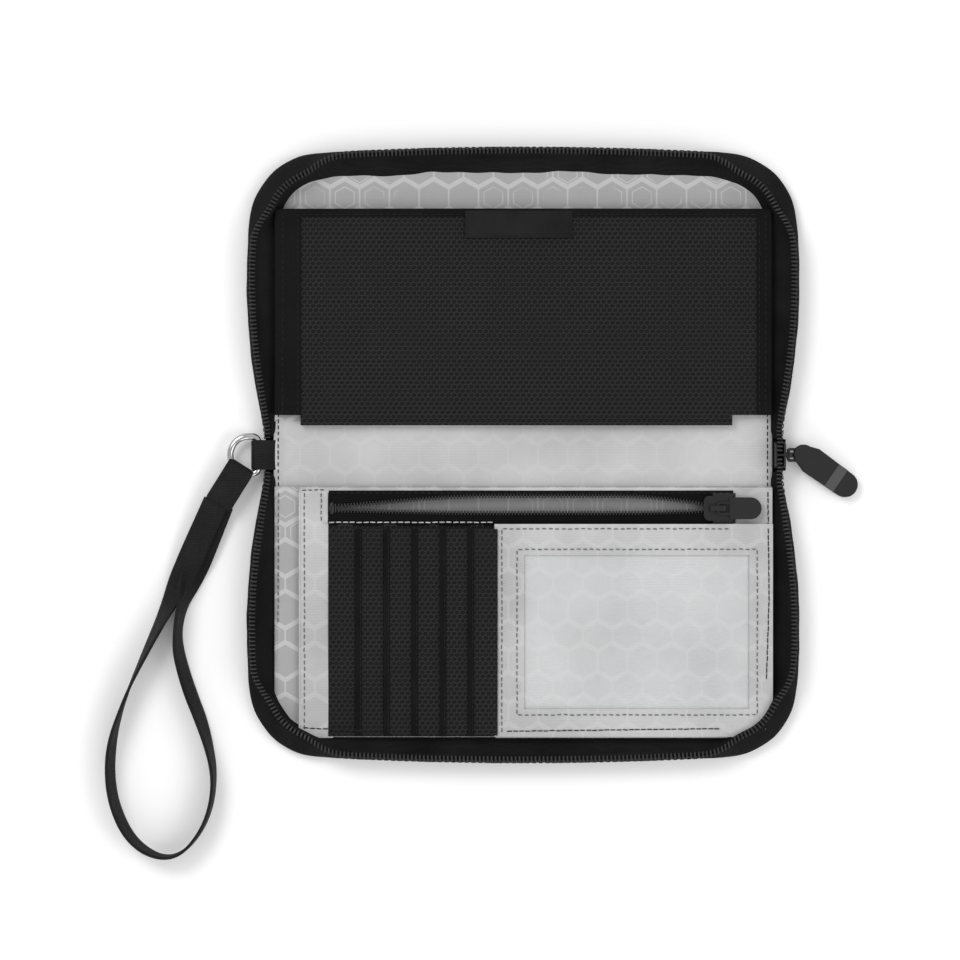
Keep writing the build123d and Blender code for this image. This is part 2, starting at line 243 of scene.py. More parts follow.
def polished(name):
    s = Surface(name, 0.16, 0.5, metallic=1.0)
    marks = s.noise(0.7, 3, (1, 1, 4))
    s.color(s.mix(marks, gray(0.34), gray(0.56)))
    s.roughness(marks, 0.10, 0.24)
    return s.bumps((s.noise(3, 2), 0.08, 0.05))


def clear_film(name):
    s = Surface(name, 0.07, 0.6)
    s.color(s.mix(s.noise(0.04, 2), (0.86, 0.88, 0.90), (0.95, 0.96, 0.97)))
    s.b.inputs["Alpha"].default_value = 0.16
    return s.bumps((s.noise(0.035, 2), 0.5, 1.6), (s.noise(0.3, 2), 0.08, 0.3))


BLACK_NYLON = woven("black_nylon", 0.014, 0.021, 0.95, 0.04, 0.82, 0.12, depth=0.12, wrinkle=0.35, thread=0.6)
GUSSET = woven("gusset_nylon", 0.008, 0.014, 0.8, 0.05, 0.85, 0.08, wrinkle=0.45, thread=0.5)
BINDING = woven("hem_binding", 0.0055, 0.0085, 0.45, 0.05, 0.8, 0.08, wrinkle=0.2)
LABEL = woven("label_weave", 0.010, 0.015, 0.40, 0.08, 0.75, 0.12)
GREY_NYLON = woven("grey_nylon", 0.47, 0.585, 0.55, 0.022, 0.60, 0.22, depth=0.06, wrinkle=0.6,
        thread=0.25, printed=0.10)
PANEL_NYLON = woven("panel_nylon", 0.40, 0.54, 0.55, 0.026, 0.58, 0.24, depth=0.06, wrinkle=0.6,
        thread=0.25, printed=0.16)
HEX_LINING = hex_print("hex_lining", 0.375, 0.52, 0.6)
# a darker copy of the hex lining: painted shade, used only inside the open inner zip pocket
SHADE_PAINTED_LINING = hex_print("painted_shade_lining", 0.20, 0.27, 0.9)
TAPE = ribbed("zip_tape", 0.006, (0, 0, 1), 0.8)
FLAT_TAPE = ribbed("flat_zip_tape", 0.006, (0, 1, 0), 0.8)
MESH = mesh_cloth("black_mesh")
TEETH = moulded("coil_teeth", 0.008, 0.38, 0.45, 3)
WEBBING = woven("webbing", 0.008, 0.014, 0.95, 0.06, 0.72, 0.16, depth=0.16, thread=0.6)
PALE_THREAD = woven("pale_thread", 0.50, 0.66, 0.5, 0.3, 0.6, 0.2)
GREY_THREAD = woven("grey_thread", 0.13, 0.20, 0.5, 0.3, 0.6, 0.2)
DARK_THREAD = woven("dark_thread", 0.008, 0.014, 0.5, 0.3, 0.6, 0.2)
METAL = moulded("black_lacquer", 0.005, 0.38, 0.35, 1.5, coat=0.1)
RUBBER = moulded("pull_rubber", 0.016, 0.66, 0.22, 2.5)
BAND = moulded("pull_band", 0.060, 0.5, 0.3, 2.0)
STEEL = polished("ring_steel")
FILM = clear_film("window_film")


# ---- mesh helpers -------------------------------------------------------------------------------
def piece(name, verts, faces, material, slot=None, body=None, stands_for=()):
    """A mesh piece from millimetre points, riding on a body."""
    data = bpy.data.meshes.new(name)
    data.from_pydata([tuple(p) for p in np.asarray(verts, float) * MM], [], [tuple(f) for f in faces])
    data.validate()
    data.materials.append(material)
    data.polygons.foreach_set("use_smooth", [True] * len(data.polygons))
    data.update()
    obj = bpy.data.objects.new(name, data)
    bpy.context.scene.collection.objects.link(obj)
    if stands_for:
        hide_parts(*stands_for)
    if body:
        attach(obj, body)
    return obj


def quads(rows, cols, close_cols=False):
    """Faces of a grid of points stored row by row."""
    r, c = np.meshgrid(np.arange(rows - 1), np.arange(cols if close_cols
            else cols - 1), indexing="ij")
    r, c = r.ravel(), c.ravel()
    r1, c1 = (r + 1) % rows, (c + 1) % cols
    return np.stack([r * cols + c, r1 * cols + c, r1 * cols + c1, r * cols + c1], axis=1)


def facing_up(verts, faces):
    """The same faces, turned if they look down on the whole."""
    v = np.asarray(verts, float)
    f = np.asarray(faces)
    n = np.cross(v[f[:, 2]] - v[f[:, 0]], v[f[:, 3]] - v[f[:, 1]])
    return f if n[:, 2].sum() >= 0 else f[:, ::-1]


def solid(obj, thickness, offset=-1.0, rounded=0.0):
    """Gives an open sheet its thickness and, if asked, soft edges."""
    modifier = obj.modifiers.new("thickness", "SOLIDIFY")
    modifier.thickness = thickness * MM
    modifier.offset = offset
    if rounded:
        bevel = obj.modifiers.new("edges", "BEVEL")
        bevel.width = rounded * MM
        bevel.segments = 2
        bevel.limit_method = "ANGLE"
        bevel.angle_limit = math.radians(50)
    return obj


def resample(points, step=None, count=None):
    """A polyline's points at even spacing."""
    p = np.asarray(points, float)
    length = np.r_[0, np.cumsum(np.linalg.norm(np.diff(p, axis=0), axis=1))]
    count = count or max(2, int(round(length[-1] / step)) + 1)
    even = np.linspace(0, length[-1], count)
    return np.stack([np.interp(even, length, p[:, k]) for k in range(p.shape[1])], axis=1)


def tangents(points):
    t = np.gradient(np.asarray(points, float), axis=0)
    return t / np.linalg.norm(t, axis=1)[:, None]


def capsule_mesh(at, along, up, length, wide, tall):
    """Verts and faces of small rounded bars at the given centres; one direction may serve them all."""
    at = np.asarray(at, float)
    along, up = (np.broadcast_to(np.asarray(a, float), at.shape) for a in (along, up))
    side = np.cross(up, along)
    side /= np.linalg.norm(side, axis=1)[:, None]
    up = np.cross(along, side)
    rings = ((-0.5, 0.4), (-0.4, 0.85), (-0.2, 1.0), (0.2, 1.0), (0.4, 0.85), (0.5, 0.4))
    angles = np.linspace(0, 2 * math.pi, 8, endpoint=False)
    verts = []
    for place, size in rings:
        for a in angles:
            verts.append(at + along * length * place + side * (wide / 2 * size * math.cos(a)) + up * (tall
                    / 2 * size * math.sin(a)))
    verts = np.stack(verts, axis=1)
    one = [list(f) for f in quads(len(rings), 8, close_cols=True)]
    one += [list(range(7, -1, -1)), list(range(40, 48))]
    faces = [[i + k * 48 for i in f] for k in range(len(at)) for f in one]
    return verts.reshape(-1, 3), [f[::-1] for f in faces]


def bars(name, at, along, up, length, wide, tall, material, **rest):
    return piece(name, *capsule_mesh(at, along, up, length, wide, tall), material, **rest)


def tube_mesh(path, radius, sides=8):
    """Verts and faces of a round tube along a path, its ends closed."""
    p = np.asarray(path, float)
    t = tangents(p)
    reference = np.where(np.abs(t[:, 2:3]) > 0.9, [[1.0, 0, 0]], [[0, 0, 1.0]])
    side = np.cross(t, reference)
    side /= np.linalg.norm(side, axis=1)[:, None]
    up = np.cross(side, t)
    angles = np.linspace(0, 2 * math.pi, sides, endpoint=False)
    r = np.broadcast_to(np.asarray(radius, float), len(p))[:, None, None]
    cos, sin = np.cos(angles)[None, :, None], np.sin(angles)[None, :, None]
    verts = p[:, None] + r * (cos * side[:, None] + sin * up[:, None])
    faces = [list(f) for f in quads(len(p), sides, close_cols=True)]
    last = (len(p) - 1) * sides
    faces += [list(range(sides))[::-1], [last + i for i in range(sides)]]
    return verts.reshape(-1, 3), [f[::-1] for f in faces]


def joined(*parts):
    """Several (verts, faces) as one."""
    verts, faces, count = [], [], 0
    for v, f in parts:
        verts.append(v)
        faces += [[i + count for i in face] for face in f]
        count += len(v)
    return np.concatenate(verts), faces


# ---- the halves' outline ------------------------------------------------------------------------
END_X, BOW_X, BOW_V, CORNER_X, CORNER_V, FAR_V, CORNER_R = 92.0, 98.0, 52.0, 94.0, 106.0, 109.5, 26.0
EDGE_V = 9.3
TOOTH_PITCH = 1.42
SIDES = (("back", -1), ("front", 1))
HALF_OF = {-1: "back_half", 1: "front_half"}


def circle_through(a, b, c):
    (ax, ay), (bx, by), (cx, cy) = a, b, c
    d = 2 * (ax * (by - cy) + bx * (cy - ay) + cx * (ay - by))
    ux = ((ax**2 + ay**2) * (by - cy) + (bx**2 + by**2) * (cy - ay) + (cx**2 + cy**2) * (ay - by)) / d
    uy = ((ax**2 + ay**2) * (cx - bx) + (bx**2 + by**2) * (ax - cx) + (cx**2 + cy**2) * (bx - ax)) / d
    return np.array([ux, uy]), math.hypot(ax - ux, ay - uy)


def arc(centre, radius, start, end, count):
    a0 = math.atan2(start[1] - centre[1], start[0] - centre[0])
    a1 = math.atan2(end[1] - centre[1], end[0] - centre[0])
    a1 += 2 * math.pi * round((a0 - a1) / (2 * math.pi))
    a = np.linspace(a0, a1, count)
    return np.stack([centre[0] + radius * np.cos(a), centre[1] + radius * np.sin(a)], axis=1)


def quarter_outline():
    """(x, v) points on the right side from the spine's end round the corner to the middle of the far edge."""
    side_c, side_r = circle_through((END_X, EDGE_V), (BOW_X, BOW_V), (CORNER_X, CORNER_V))
    far_c, far_r = circle_through((-CORNER_X, CORNER_V), (0, FAR_V), (CORNER_X, CORNER_V))
    r0, r1 = side_r - CORNER_R, far_r - CORNER_R
    gap = far_c - side_c
    d = np.linalg.norm(gap)
    a = (r0**2 - r1**2 + d**2) / (2 * d)
    h = math.sqrt(r0**2 - a**2)
    middle = side_c + gap * a / d
    both = [middle + s * h * np.array([-gap[1], gap[0]]) / d for s in (1, -1)]
    centre = max(both, key=lambda c: c[0] + c[1])
    t0 = side_c + (centre - side_c) / np.linalg.norm(centre - side_c) * side_r
    t1 = far_c + (centre - far_c) / np.linalg.norm(centre - far_c) * far_r
    return centre, np.concatenate([arc(side_c, side_r, (END_X, EDGE_V), t0, 40)[:-1], arc(centre, CORNER_R,
            t0, t1, 24)[:-1], arc(far_c, far_r, t1, (0, FAR_V), 24)])


CORNER_CENTRE, QUARTER = quarter_outline()


def half_width(v, inset=0.0):
    """The outline's half-width at a distance v from the spine."""
    v = np.asarray(v, float)
    return np.interp(np.clip(v + inset, EDGE_V, FAR_V - 0.01), QUARTER[:, 1], QUARTER[:, 0]) - inset


def trimmed(x, v, inset):
    """Grid points moved inside the outline, less an inset."""
    a = np.minimum(np.abs(x), half_width(np.minimum(v, CORNER_CENTRE[1]), inset))
    far = np.interp(a, QUARTER[::-1, 0], QUARTER[::-1, 1]) - inset
    v = np.where(a < CORNER_CENTRE[0], np.minimum(v, far), v)
    da, dv = a - CORNER_CENTRE[0], v - CORNER_CENTRE[1]
    reach = np.hypot(da, dv)
    outside = (da > 0) & (dv > 0) & (reach > CORNER_R - inset)
    shrink = np.where(outside, (CORNER_R - inset) / np.maximum(reach, 1e-6), 1)
    return np.sign(x) * (a - da * (1 - shrink)), v - dv * (1 - shrink)


def rim_path(end_right, end_left):
    """(x, v) from the right spine end round the rim to the left, with inward normals and a corner measure."""
    right = np.concatenate([[(91.4, end_right), (91.8, 6.0)], QUARTER]) if end_right < 6 else np.concatenate(
        [[(91.8, end_right)], QUARTER])
    left = np.concatenate([[(91.8, end_left)], QUARTER])
    points = resample(np.concatenate([right, (left * [-1, 1])[::-1][1:]]), 1.5)
    t = tangents(points)
    normal = np.stack([-t[:, 1], t[:, 0]], axis=1)
    turn = np.abs(np.gradient(np.unwrap(np.arctan2(t[:, 1], t[:, 0])))) / 1.5 * CORNER_R
    kernel = np.hanning(15)
    corner = np.convolve(np.where(points[:, 1] > 20, turn, 0), kernel / kernel.sum(), "same")
    return points, normal, np.clip(corner, 0, 1)


def rim_height(points):
    """Height of the zip's edge: level round the rim, dipping at the spine, up to the slider on the right."""
    v = points[:, 1]
    right = np.interp(v, [1.6, 4.5, 7, 10, 14, 20, 27, 34], [9.7, 9.2, 7.9, 6.9, 6.7, 7.8, 9.0, 9.3])
    left = np.interp(v, [6.2, 9, 14, 20, 27, 34], [3.6, 4.6, 6.2, 7.8, 9.0, 9.3])
    z = np.where(points[:, 0] > 0, right, left)
    kernel = np.hanning(7)
    padded = np.pad(z, 3, mode="edge")
    return np.convolve(padded, kernel / kernel.sum(), "valid")[: len(z)]


def rim_lean(points, corner):
    """How far the zip's edge leans in: little along the sides, most at the corners."""
    return 0.9 + 5.4 * corner - 0.8 * np.interp(points[:, 1], [5, 14], [1, 0])


def bend(obj, half, near=4.6, far=27.0):
    """Bakes a piece's placement into its mesh points."""
    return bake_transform(obj)


def swept(path, normal, profile, side):
    """Grid of points: the profile's (inward, height) columns carried along a path of (x, v) points."""
    return np.stack([np.stack([path[:, 0] + n * normal[:, 0], side * (path[:, 1] + n * normal[:, 1]), h],
            axis=1) for n, h in profile], axis=1)


def make_rim(half, side):
    """The gusset with its piping, the zip tape with its stitching, and the coil's teeth."""
    pts, nrm, corner = rim_path(5.4, 6.2)
    z = rim_height(pts)
    lean = rim_lean(pts, corner)
    near = np.interp(pts[:, 1], [5, 12, 26, 45], [2.6, 4.6, 8.6, 10.6])
    wave = 0.25 * np.sin(np.arange(len(pts)) * 0.37) + 0.18 * np.sin(np.arange(len(pts)) * 0.83 + 1)
    bottom = np.full(len(pts), 0.75)
    profile = [(0.45 + 0 * lean, bottom), (-0.05 + 0 * lean, 1.3 + 0 * z), (-0.35 + 0.3 * wave,
            0.28 * z + 0.8), (-0.15 + 0.16 * lean + wave, 0.5 * z + 0.4), (0.45 * lean + 0.7 * wave * 0.5,
            0.72 * z), (0.86 * lean, z - 1.0), (lean, z - 0.35), (lean + 0.5, z - 0.1), (lean + 0.95,
            z - 0.5), (lean + 1.3 + 0.1 * (near - lean), 0.70 * z + 0.3 * wave),
            (lean + 0.42 * (near - lean), 0.46 * z + 0.8 + wave), (0.3 * lean + 0.7 * near,
            0.16 * z + 2.2 + 0.4 * wave), (near, 2.5 + 0 * z),]
    grid = swept(pts, nrm, profile, side)
    wall = (grid.reshape(-1, 3), [list(f) for f in quads(len(pts), len(profile))])
    if side > 0:
        wall = (wall[0], [f[::-1] for f in wall[1]])
    pipe = swept(pts, nrm, [(0.35, np.full(len(pts), 0.95))], side)[:, 0]
    gusset = piece(f"{half}_rim_gusset", *wall, GUSSET, stands_for=[f"{half}_gusset"])
    bend(gusset, half)
    piping = piece(f"{half}_rim_piping", *tube_mesh(pipe, 0.75), BINDING)
    bend(piping, half)

    pts, nrm, corner = rim_path(1.6, 6.2)
    z = rim_height(pts)
    lean = rim_lean(pts, corner)
    drop = np.interp(pts[:, 1], [1.6, 5, 12, 25], [2.2, 2.6, 3.2, 3.9])
    tape = [(lean - 0.35 - 0.16 * drop, z - drop), (lean - 0.42 - 0.06 * drop, z - 0.6 * drop),
            (lean - 0.3, z - 0.5), (lean + 0.1, z + 0.02), (lean + 0.55, z + 0.1), (lean + 0.75, z - 0.1)]
    grid = swept(pts, nrm, tape, side)
    faces = quads(len(pts), len(tape))
    strip = piece(f"{half}_rim_tape", grid.reshape(-1, 3), faces if side < 0 else faces[:, ::-1], TAPE,
            stands_for=[f"{half}_zip_tape"])
    solid(strip, 0.45, 1.0)
    bend(strip, half)

    def on_rim(n, h):
        line = swept(pts, nrm, [(n, h)], side)[:, 0]
        frame_of = np.stack([nrm[:, 0], side * nrm[:, 1], 0 * z], axis=1)
        both = resample(np.concatenate([line, frame_of], axis=1), TOOTH_PITCH)
        return both[:, :3], both[:, 3:] / np.linalg.norm(both[:, 3:], axis=1)[:, None]

    centres, inward = on_rim(lean + 0.25, z + 0.12)
    along = tangents(centres)
    up = np.cross(along, inward)
    up *= np.sign(up[:, 2:3])
    outward = -inward * 0.95 + up * 0.18
    outward /= np.linalg.norm(outward, axis=1)[:, None]
    coil = bars(f"{half}_rim_coil", centres, outward, up, 2.3, 0.92, 1.05, TEETH,
            stands_for=[f"{half}_zip_teeth"])
    bend(coil, half)
    seam, inward = on_rim(lean - 0.78 - 0.1 * drop, z - 0.72 * drop)
    seam = seam[seam[:, 1] * side > 8]
    sewn = resample(seam, 2.4)
    away = np.stack([np.sign(sewn[:, 0]), 0 * sewn[:, 0], 0 * sewn[:, 0]], axis=1)
    far = np.abs(sewn[:, 1]) > 100
    away[far] = (0, side, 0)
    stitches = bars(f"{half}_rim_stitches", sewn, tangents(sewn), away, 1.5, 0.3, 0.3, DARK_THREAD)
    bend(stitches, half)


# ---- covers -------------------------------------------------------------------------------------
def make_cover(half, side):
    """The outer fabric from the spine's seam to the rim, its edge turned up into the piping."""
    inner = [6.9, 7.6, 8.2, 8.7, 9.2, 9.7, 10.4, 12]
    rows = [(91.6 if v < 9.3 else float(half_width(v)), v) for v in inner]
    rows += [tuple(p) for p in QUARTER if p[1] > 12.5]
    rows = np.array(rows)
    columns = np.linspace(-1, 1, 61)
    verts = []
    for x, v in rows:
        for c in columns:
            px = c * x
            n = min(x - abs(px), FAR_V - v + (px / 98) ** 2 * 3.2)
            quilt = 0.07 * (1 + math.sin(px * 0.11 + v * 0.05) * math.sin(v * 0.09))
            lift = 0.62 * math.exp(-((max(n, 0) / 0.9) ** 1.3)) + (quilt if n > 4 and v > 16 else 0)
            verts.append((px, side * v, lift))
    rows_n = len(rows)
    faces = facing_up(verts, quads(rows_n, 61))[:, ::-1]
    cover = piece(f"{half}_outer_cover", verts, faces, BLACK_NYLON, stands_for=[f"{half}_cover",
            f"{half}_board"])
    solid(cover, 0.55, -1.0)
    bend(cover, half, 7.8, 10.4)


def make_cover_seams(half, side):
    """Stitching on the outer fabric: round the edge inside the piping, and along the spine."""
    ring = np.concatenate([QUARTER, (QUARTER * [-1, 1])[::-1][1:]])
    ring = resample(ring[ring[:, 1] > 13], 2.7)
    t = tangents(ring)
    inside = np.stack([ring[:, 0] - 3.4 * t[:, 1], side * (ring[:, 1] + 3.4 * t[:, 0])], axis=1)
    along = np.stack([t[:, 0], side * t[:, 1], 0 * t[:, 0]], axis=1)
    spine_run = resample([(-88, side * 13.2), (88, side * 13.2)], 2.7)
    at = np.concatenate([inside, spine_run])
    along = np.concatenate([along, np.tile([1.0, 0, 0], (len(spine_run), 1))])
    at = np.column_stack([at, np.full(len(at), 0.13)])
    bars(f"{half}_cover_stitches", at, along, UP, 1.8, 0.36, 0.3, DARK_THREAD, body=f"{half}_half")


def make_spine_cover():
    verts = [(x, y, 0.02 + 0.05 * abs(math.sin(x * 0.21)) + (0.5 if abs(x) > 91.9 else 0))
            for y in np.linspace(-7.4, 7.4, 17) for x in np.linspace(-92, 92, 121)]
    faces = facing_up(verts, quads(17, 121))[:, ::-1]
    base = piece("spine_outer", verts, faces, BLACK_NYLON, body="spine", stands_for=["spine_cover",
            "spine_board"])
    solid(base, 0.6, -1.0)
    lines = [resample([(-90.5, y, 0.03), (90.5, y, 0.03)], 2.6) for y in (-6.1, 6.1)]
    at = np.concatenate(lines)
    bars("spine_outer_stitches", at + [0, 0, 0.12], ALONG_X, UP, 1.7, 0.32, 0.24, DARK_THREAD, body="spine")


# ---- inner layers -------------------------------------------------------------------------------
def layer(name, x0, x1, v0, v1, side, height, material, thickness=0.4, step=2.0, inset=None, keep=None,
        slot=None, bent=False, stands_for=(), rounded=0.0):
    """A sheet over a rectangle at a height function, trimmed to the outline and to keep["test"](x, v)."""
    xs = np.unique(np.r_[np.arange(x0, x1, step), x1])
    vs = np.unique(np.r_[np.arange(v0, v1, step), v1])
    if keep:
        xs = np.unique(np.r_[xs, [e for e in keep["x"] if x0 <= e <= x1]])
        vs = np.unique(np.r_[vs, [e for e in keep["v"] if v0 <= e <= v1]])
    gx, gv = np.meshgrid(xs, vs)
    if inset is not None:
        gx, gv = trimmed(gx, gv, inset)
    gz = height(gx, gv)
    verts = np.stack([gx, side * gv, gz], axis=-1).reshape(-1, 3)
    faces = facing_up(verts, quads(len(vs), len(xs)))
    if keep:
        mid = np.array([verts[f].mean(axis=0) for f in faces])
        faces = faces[keep["test"](mid[:, 0], side * mid[:, 1])]
        used = np.unique(faces)
        remap = np.full(len(verts), -1)
        remap[used] = np.arange(len(used))
        verts, faces = verts[used], remap[faces]
    body = None if bent else HALF_OF[side]
    obj = piece(name, verts, faces, material, slot, body=body, stands_for=stands_for)
    return solid(obj, thickness, -1.0, rounded) if thickness else obj


def ripple(x, v, size=0.15):
    return size * (np.sin(x * 0.061 + 0.4) * np.sin(v * 0.083 + 1.1) + 0.6 * np.sin(x * 0.147 + v * 0.055))


def spine_band(x, v):
    """The pale band: nearly flat, lifted over the ring's webbing on the left."""
    lift = 2.3 / (1 + np.exp((x + 86.0) / 0.6)) / (1 + np.exp((np.abs(v) - 6.3) / 0.6))
    edge = np.where(np.abs(x) > 88.6, -0.5, 0.0)
    return 2.75 + lift + edge + 0.12 * np.sin(x * 0.05) * np.cos(v * 0.2)


LINING_BEND = (7.4, 10.6)


def make_inner_lining():
    for half, side, far, replaced in (("front", 1, 19, ["spine_lining"]), ("back", -1, 15, ())):
        lining = layer(f"spine_lining_{half}", -88.9, 88.9, 0, far, side, spine_band, GREY_NYLON, 0,
                step=1.0, bent=True, stands_for=replaced)
        bend(lining, half, *LINING_BEND)
    for x in (-87.3, 87.2):
        for name, side, far in (("front", 1, 16.5), ("back", -1, 10.5)):
            line = resample([(x, 0.9 * side, 0), (x, far * side, 0)], 2.3)
            line[:, 2] = spine_band(line[:, 0], np.abs(line[:, 1])) + 0.12
            sewn = bars(f"spine_edge_stitches_{name}_{'left' if x < 0 else 'right'}", line, ALONG_Y, UP,
                    1.5, 0.42, 0.4, DARK_THREAD)
            bend(sewn, name, *LINING_BEND)
    lining = layer("front_lining_sheet", -92, 92, 12, 104, 1, lambda x, v: 2.5 + np.clip((v - 84) / 14, 0,
            1) * 0.8 + ripple(x, v, 0.22), HEX_LINING, inset=5.0, stands_for=["front_lining",
            "front_board"])
    lining = layer("back_lining_sheet", -92, 92, 12, 104, -1, lambda x, v: 2.5 + ripple(x, v, 0.05),
            HEX_LINING, inset=5.0, stands_for=["back_lining"])


def pocket_height(x, v):
    """The document pocket's front: crowned, sagging a little at its open edge."""
    across = 1 - np.clip(np.abs(x) / 89, 0, 1) ** 2.6
    along = np.clip((v - 10.8) / 12, 0, 1) ** 0.6
    mouth = np.clip((v - 60) / 28, 0, 1) ** 2
    wave = 0.22 * np.sin(x * 0.045 + 0.6) * np.sin(v * 0.07) * across
    return 6.0 + 1.75 * across * along * (1 - 0.15 * mouth) + wave


def make_document_pocket():
    cut = {"x": [-79.3, 74.5], "v": [14.2], "test": lambda x, v: ~(((x < -79.3) | (x > 74.5)) & (v < 14.2))}
    panel = layer("pocket_front", -88.2, 88.2, 10.9, 87.3, 1, pocket_height, MESH, 0.6, 2.0, keep=cut,
            stands_for=["document_pocket"], rounded=0.15)
    # side and bottom folds, from the front's edge down to the lining
    folds = []
    profile = [(0, -0.1), (0.5, -0.9), (0.15, -2.0), (-0.9, -2.9), (-0.2, -3.7)]
    for sign in (-1, 1):
        vs = np.arange(14.4, 87.5, 2.0)
        x = np.full(len(vs), 88.1)
        grid = np.stack([np.stack([sign * (x + n), vs, np.maximum(pocket_height(x, vs) + h, 2.5)], axis=1)
                for n, h in profile], axis=1)
        faces = quads(len(vs), len(profile))
        folds.append((grid.reshape(-1, 3), [list(f) for f in (faces if sign < 0 else faces[:, ::-1])]))
    sheet = piece("pocket_side_folds", *joined(*folds), BINDING, body="front_half")
    solid(sheet, 0.5, 0)
    xs = np.r_[np.arange(-79.3, 74.4, 2.0), 74.5]
    vs = 10.9 + 0 * xs
    grid = np.stack([np.stack([xs, vs + n, np.maximum(pocket_height(xs, vs) + h, 2.5)], axis=1) for n,
            h in ((0.15, 0.02), (-0.1, -0.5), (0.1, -1.4), (0.6, -2.4), (0.2, -3.5))], axis=1)
    sheet = piece("pocket_bottom_fold", grid.reshape(-1, 3), quads(len(xs), 5)[:, ::-1], MESH,
            body="front_half")
    solid(sheet, 0.5, 0)
    for hand, x0, x1, step in (("left", -88.4, -79.0, 1.6), ("right", 83.2, 88.4, 1.3)):
        layer(f"pocket_hem_{hand}_strip", x0, x1, 14.2, 87.4, 1, lambda x, v: pocket_height(x, v) + 0.42,
                BINDING, 0.42, step, stands_for=[f"pocket_hem_{hand}"], rounded=0.12)
    layer("pocket_mouth_binding", -88.3, 88.3, 84.9, 87.7, 1, lambda x, v: pocket_height(x, v) + 0.34,
            BINDING, 0.42, 1.4, rounded=0.12)
    label = layer("blank_label", -20.7, 17.5, 77.2, 87.0, 1, lambda x, v: pocket_height(x,
            v) + 0.72 + 0.08 * np.sin(x * 0.3), LABEL, 0.35, 1.0, stands_for=["label_patch"], rounded=0.1)
    runs = [[(-85.6, 15), (-85.6, 86)], [(-80.2, 15), (-80.2, 84.5)], [(86.4, 15), (86.4, 86)], [(84.2,
            15), (84.2, 84.5)], [(-79, 85.7), (-22, 85.7)], [(18.8, 85.7), (83, 85.7)], [(-78, 12.3), (74,
            12.3)], [(-20.0, 77.9), (16.8, 77.9), (16.8, 86.3), (-20.0, 86.3), (-20.0, 77.9)], [(-87.5,
            15.2), (-80, 15.2)]]
    sew("pocket_stitches", runs, 1, lambda x, v: pocket_height(x,
            v) + np.where((v > 77) & (np.abs(x + 1.6) < 19.5), 0.78, 0.5) - np.where(v < 13, 0.42, 0),
            DARK_THREAD, pitch=2.3, size=(1.5, 0.34, 0.3))


def sew(name, runs, side, height, material, pitch=2.4, size=(1.6, 0.42, 0.36)):
    """Stitches along runs of (x, v) points."""
    at, along = [], []
    for run in runs:
        p = np.asarray(run, float)
        for a, b in zip(p, p[1:]):
            count = max(1, int(round(np.linalg.norm(b - a) / pitch)))
            f = (np.arange(count) + 0.5) / count
            q = a + f[:, None] * (b - a)
            t = (b - a) / np.linalg.norm(b - a)
            at.append(q + rng.normal(0, 0.05, q.shape))
            along.append(np.tile(t, (count, 1)) + rng.normal(0, 0.04, q.shape))
    at, along = np.concatenate(at), np.concatenate(along)
    centres = np.stack([at[:, 0], side * at[:, 1], height(at[:, 0], at[:, 1])], axis=1)
    direction = np.stack([along[:, 0], side * along[:, 1], 0 * at[:, 0]], axis=1)
    direction /= np.linalg.norm(direction, axis=1)[:, None]
    return bars(name, centres, direction, UP, *size, material, body=HALF_OF[side])


# ---- organizer ----------------------------------------------------------------------------------
ZIP_V, ZIP_LEFT, ZIP_RIGHT = 19.0, -69.6, 75.7
PANEL_Z = 5.75


def panel_height(x, v):
    edge = np.clip((101 - v) / 5, 0, 1) * np.clip((88.9 - x) / 4, 0, 1)
    return PANEL_Z + 0.25 * edge - 0.25 + 0.5 * ripple(x, v, 0.2)


def make_organizer():
    slip = layer("slip_pocket_front", -88.6, 88.6, 11.2, 100.6, -1, lambda x, v: 4.0 + ripple(x, v, 0.16),
            HEX_LINING, 0.35, 2.0, inset=4.2, stands_for=["slip_pocket"])
    hole = {"x": [ZIP_LEFT, ZIP_RIGHT, -9.8], "v": [13.6, 24.4, 25.2], "test": lambda x,
            v: ~((x > ZIP_LEFT) & (x < ZIP_RIGHT) & (v > 13.6) & (v < 24.4)) & ~((x > ZIP_LEFT + 1)
            & (x < -9.8) & (v > 24.4))}
    panel = layer("organizer_front", -79.7, 88.8, 11.6, 100.8, -1, panel_height, PANEL_NYLON, 0.45, 2.0,
            inset=3.9, keep=hole, stands_for=["organizer_panel"], rounded=0.12)
    # the turned edge down the left band
    edge = resample([(-79.6, 11.8), (-79.6, 99.0)], 2.0)
    tube = np.stack([edge[:, 0], -edge[:, 1], panel_height(edge[:, 0], edge[:, 1]) - 0.1], axis=1)
    piece("organizer_left_fold", *tube_mesh(tube, 0.42), PANEL_NYLON, body="back_half")


def lens(x, reach):
    """How far a half of the open inner zip stands from its centre line."""
    t = np.clip((x - ZIP_LEFT - 2) / 58, 0, 1)
    r = np.clip((66.5 - x) / 34, 0, 1)
    return 0.75 + reach * np.sin(t * math.pi / 2) ** 1.3 * np.sin(r * math.pi / 2) ** 0.8


